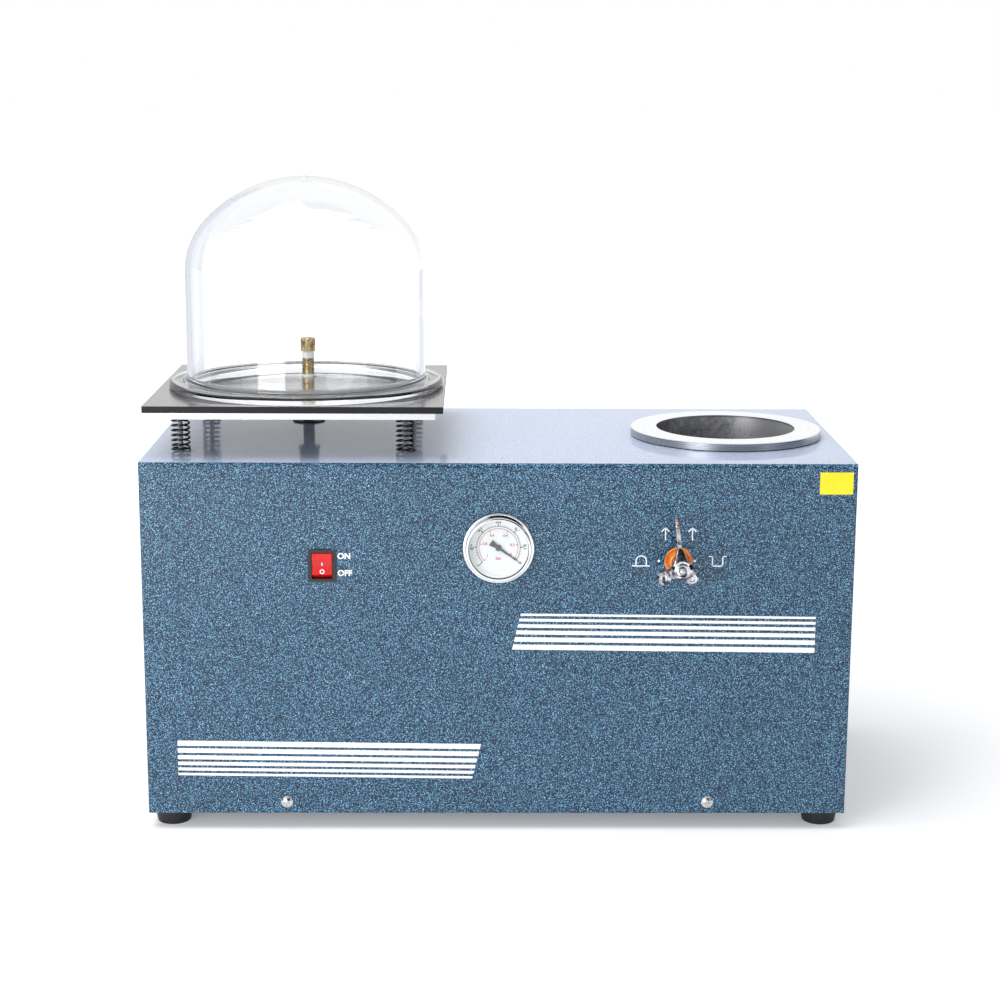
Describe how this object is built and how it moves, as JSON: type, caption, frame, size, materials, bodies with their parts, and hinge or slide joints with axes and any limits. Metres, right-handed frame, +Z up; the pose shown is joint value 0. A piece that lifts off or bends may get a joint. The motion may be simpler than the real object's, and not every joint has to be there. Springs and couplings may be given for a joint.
{
  "type": "vacuum casting machine",
  "caption": "Blue sheet metal bench machine: sprung investment table under a glass bell jar, flanged casting chamber sunk in the top, vacuum gauge, selector valve, power switch, pump inside.",
  "frame": {"origin": "on the floor, in the middle of the machine's outer box", "axes": "+X to the machine's right seen from the front, +Y to its back, +Z up"},
  "size_m": [0.6972, 0.3731, 0.634],
  "materials": {
    "cabinet_paint": "hammered blue enamel, semi-gloss",
    "steel_fixings": "bright zinc",
    "stud_steel": "bright turned",
    "spring_steel": "dark oiled wire",
    "foot_rubber": "matte",
    "pad_rubber": "smooth satin",
    "gasket_rubber": "matte",
    "hose_rubber": "satin",
    "plate_aluminium": "milled",
    "cast_aluminium": "machined ring, rough cast cup",
    "pump_casting": "sand cast",
    "brass_fittings": "turned",
    "tape_white": "matte",
    "jar_glass": "clear",
    "lens_glass": "clear",
    "chrome_trim": "polished",
    "collar_copper": "copper coloured, satin",
    "black_enamel": "gloss",
    "dial_white": "matte",
    "black_plastic": "matte",
    "red_plastic": "glossy",
    "clear_tube": "milky",
    "motor_enamel": "semi-gloss",
    "rotor_steel": "turned"
  },
  "bodies": {
    "cabinet": {"cabinet_shell": "cabinet_paint", "base_pan": "cabinet_paint", "rear_cover": "cabinet_paint", "shell_screws": "steel_fixings", "rear_screws": "steel_fixings", "foot_front_left": "foot_rubber", "foot_front_right": "foot_rubber", "foot_rear_left": "foot_rubber", "foot_rear_right": "foot_rubber", "foot_screws": "steel_fixings", "spring_front_left": "spring_steel", "spring_front_right": "spring_steel", "spring_rear_left": "spring_steel", "spring_rear_right": "spring_steel", "riser_hose": "hose_rubber", "hose_coupler": "brass_fittings", "riser_grommet": "gasket_rubber", "casting_chamber": "cast_aluminium", "chamber_gasket": "gasket_rubber", "chamber_bolts": "steel_fixings", "chamber_elbow": "brass_fittings", "gauge_bezel": "chrome_trim", "gauge_case": "black_enamel", "gauge_dial": "dial_white", "gauge_lens": "lens_glass", "gauge_stem": "brass_fittings", "switch_housing": "black_plastic", "valve_body": "brass_fittings", "valve_collar": "collar_copper", "table_hose": "hose_rubber", "chamber_hose": "hose_rubber", "pump_hose": "hose_rubber", "gauge_tube": "clear_tube", "pump_cradle": "black_enamel", "pump_bolts": "steel_fixings", "oil_case": "pump_casting", "oil_plugs": "black_plastic", "sight_glass": "lens_glass", "exhaust_filter": "black_plastic", "pump_motor": "motor_enamel", "fan_cowl": "black_enamel", "capacitor": "black_plastic", "power_inlet": "black_plastic"},
    "table": {"table_plate": "plate_aluminium", "table_pad": "pad_rubber", "table_studs": "stud_steel", "stud_nuts": "steel_fixings", "hose_nut": "black_plastic", "standpipe": "brass_fittings", "standpipe_cap": "brass_fittings", "pipe_tape": "tape_white"},
    "jar": {"bell_jar": "jar_glass"},
    "rocker": {"switch_rocker": "red_plastic"},
    "valve": {"valve_stem": "brass_fittings", "valve_handle": "chrome_trim", "handle_screw": "steel_fixings"},
    "pointer": {"gauge_pointer": "black_enamel"},
    "rotor": {"motor_rotor": "rotor_steel", "cooling_fan": "black_plastic"}
  },
  "joints": [
    {"name": "table_press", "type": "slide", "parent": "cabinet", "child": "table", "axis": [0, 0, 1], "range_m": [-0.006, 0], "stiffness_N_per_m": 8000, "springref_m": 0.012, "deforming": ["spring_front_left", "spring_front_right", "spring_rear_left", "spring_rear_right", "riser_hose"]},
    {"name": "jar_lift", "type": "slide", "parent": "table", "child": "jar", "axis": [0, 0, 1], "range_m": [0, 0.25]},
    {"name": "rocker_pivot", "type": "hinge", "parent": "cabinet", "child": "rocker", "pos_m": [-0.1702, -0.13995, 0.2697], "axis": [-1, 0, 0], "range_deg": [0, 16]},
    {"name": "valve_turn", "type": "hinge", "parent": "cabinet", "child": "valve", "pos_m": [0.1739, -0.14195, 0.2749], "axis": [0, -1, 0], "range_deg": [-97, 83]},
    {"name": "pointer_turn", "type": "hinge", "parent": "cabinet", "child": "pointer", "pos_m": [0, -0.14195, 0.2875], "axis": [0, -1, 0], "range_deg": [0, 258], "stiffness_Nm_per_rad": 0.001, "springref_deg": -11.46},
    {"name": "rotor_spin", "type": "hinge", "parent": "cabinet", "child": "rotor", "pos_m": [0, 0.02605, 0.1215], "axis": [1, 0, 0], "continuous": true}
  ]
}
